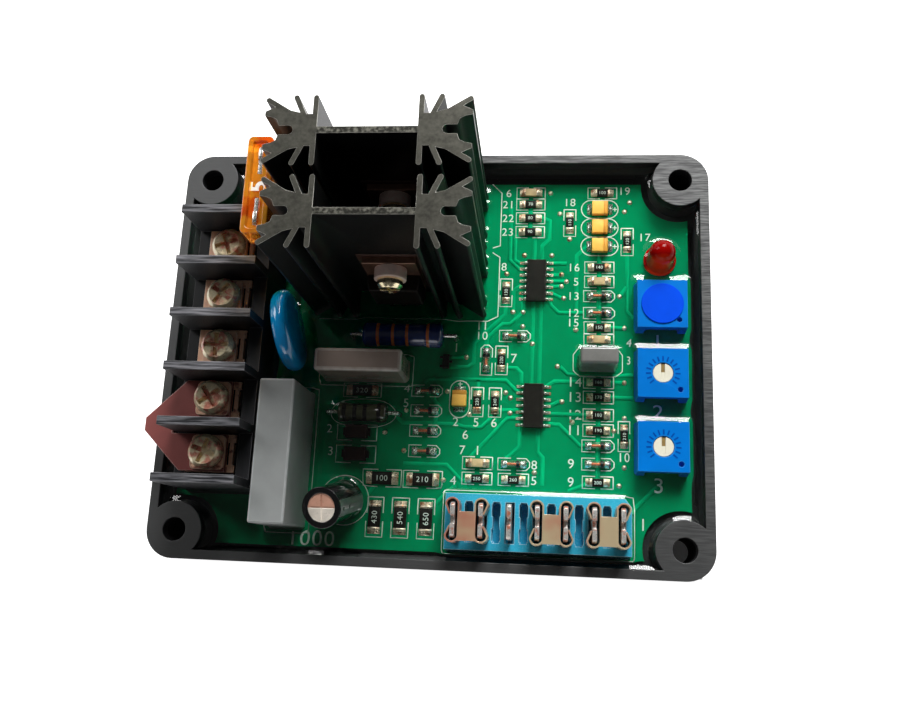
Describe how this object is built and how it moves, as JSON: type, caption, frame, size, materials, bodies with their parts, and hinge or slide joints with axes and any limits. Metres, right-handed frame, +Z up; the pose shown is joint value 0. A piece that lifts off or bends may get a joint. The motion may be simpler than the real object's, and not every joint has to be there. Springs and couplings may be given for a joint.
{
  "type": "automatic voltage regulator",
  "caption": "Generator voltage regulator: a resin-potted circuit board in an open tray with corner fixing holes, screw terminals, finned heat sinks, a fuse, jumper links and trimmers.",
  "frame": {"origin": "middle of the four fixing holes, on the tray's underside", "axes": "+Z up out of the tray, +X along its length towards the trimmers, +Y away from the jumper header towards the heat sinks"},
  "size_m": [0.107, 0.083, 0.048],
  "materials": {
    "black_moulding": "moulded black plastic, sanded rim",
    "board_green": "green solder mask on glass-fibre board",
    "clear_resin": "clear glossy casting resin",
    "terminal_metal": "plated strip",
    "screw_metal": "passivated steel",
    "link_copper": "dull copper strip",
    "black_anodised": "black anodised extrusion with bare cut ends",
    "tinned_metal": "tinned",
    "device_black": "moulded epoxy",
    "pad_brown": "insulating pad",
    "bush_cream": "moulded bush",
    "fuse_amber": "translucent amber",
    "varistor_blue": "dipped coating",
    "film_grey": "grey case",
    "film_brown": "brown-grey case",
    "resistor_navy": "lacquer with colour bands",
    "resistor_olive": "lacquer with colour bands",
    "can_aluminium": "bare can",
    "sleeve_black": "shrink sleeve",
    "header_blue": "moulded header",
    "link_metal": "plated sheet",
    "trimmer_blue": "moulded housing",
    "rotor_cream": "moulded rotor",
    "seal_blue": "round seal",
    "lens_red": "tinted lens",
    "chip_black": "chip body",
    "ceramic_tan": "fired ceramic",
    "tantalum_yellow": "moulded case",
    "diode_glass": "glass tube"
  },
  "bodies": {
    "regulator": {"tray": "black_moulding", "circuit_board": "board_green", "potting_resin": "clear_resin", "terminal_block": "black_moulding", "terminal_plates": "terminal_metal", "terminal_washers": "terminal_metal", "terminal_screws": "screw_metal", "terminal_link": "link_copper", "heatsink_front": "black_anodised", "heatsink_rear": "black_anodised", "heatsink_pins": "tinned_metal", "front_device_case": "device_black", "front_device_tab": "tinned_metal", "rear_device_case": "device_black", "rear_device_tab": "tinned_metal", "device_leads": "tinned_metal", "insulating_pads": "pad_brown", "insulating_bushes": "bush_cream", "device_screws": "screw_metal", "device_nuts": "screw_metal", "fuse_body": "fuse_amber", "fuse_element": "tinned_metal", "fuse_clips": "tinned_metal", "varistor": "varistor_blue", "varistor_leads": "tinned_metal", "film_capacitor_large": "film_grey", "film_capacitor_medium": "film_brown", "film_capacitor_small": "film_grey", "capacitor_leads": "tinned_metal", "power_resistor": "resistor_navy", "axial_resistor": "resistor_olive", "resistor_leads": "tinned_metal", "electrolytic_can": "can_aluminium", "electrolytic_sleeve": "sleeve_black", "electrolytic_leads": "tinned_metal", "jumper_base": "header_blue", "jumper_tabs": "terminal_metal", "jumper_link_1": "link_metal", "jumper_link_2": "link_metal", "jumper_link_3": "link_metal", "trimmer_housing_1": "trimmer_blue", "trimmer_housing_2": "trimmer_blue", "trimmer_housing_3": "trimmer_blue", "trimmer_rotor_1": "rotor_cream", "trimmer_pins": "tinned_metal", "trimmer_seal": "seal_blue", "led_lens": "lens_red", "led_leads": "tinned_metal", "ic_bodies": "chip_black", "ic_leads": "tinned_metal", "chip_resistors": "chip_black", "power_chip_resistors": "chip_black", "ceramic_capacitors": "ceramic_tan", "tantalum_capacitors": "tantalum_yellow", "glass_diodes": "diode_glass", "rectifier_diodes": "chip_black", "small_transistor": "chip_black"},
    "second_rotor": {"trimmer_rotor_2": "rotor_cream"},
    "third_rotor": {"trimmer_rotor_3": "rotor_cream"}
  },
  "joints": [
    {"name": "second_trimmer_turn", "type": "hinge", "parent": "regulator", "child": "second_rotor", "pos_m": [0.0444, -0.0031, 0.0113], "axis": [0, 0, 1], "range_deg": [-130, 130]},
    {"name": "third_trimmer_turn", "type": "hinge", "parent": "regulator", "child": "third_rotor", "pos_m": [0.0444, -0.0172, 0.0113], "axis": [0, 0, 1], "range_deg": [-130, 130]}
  ]
}
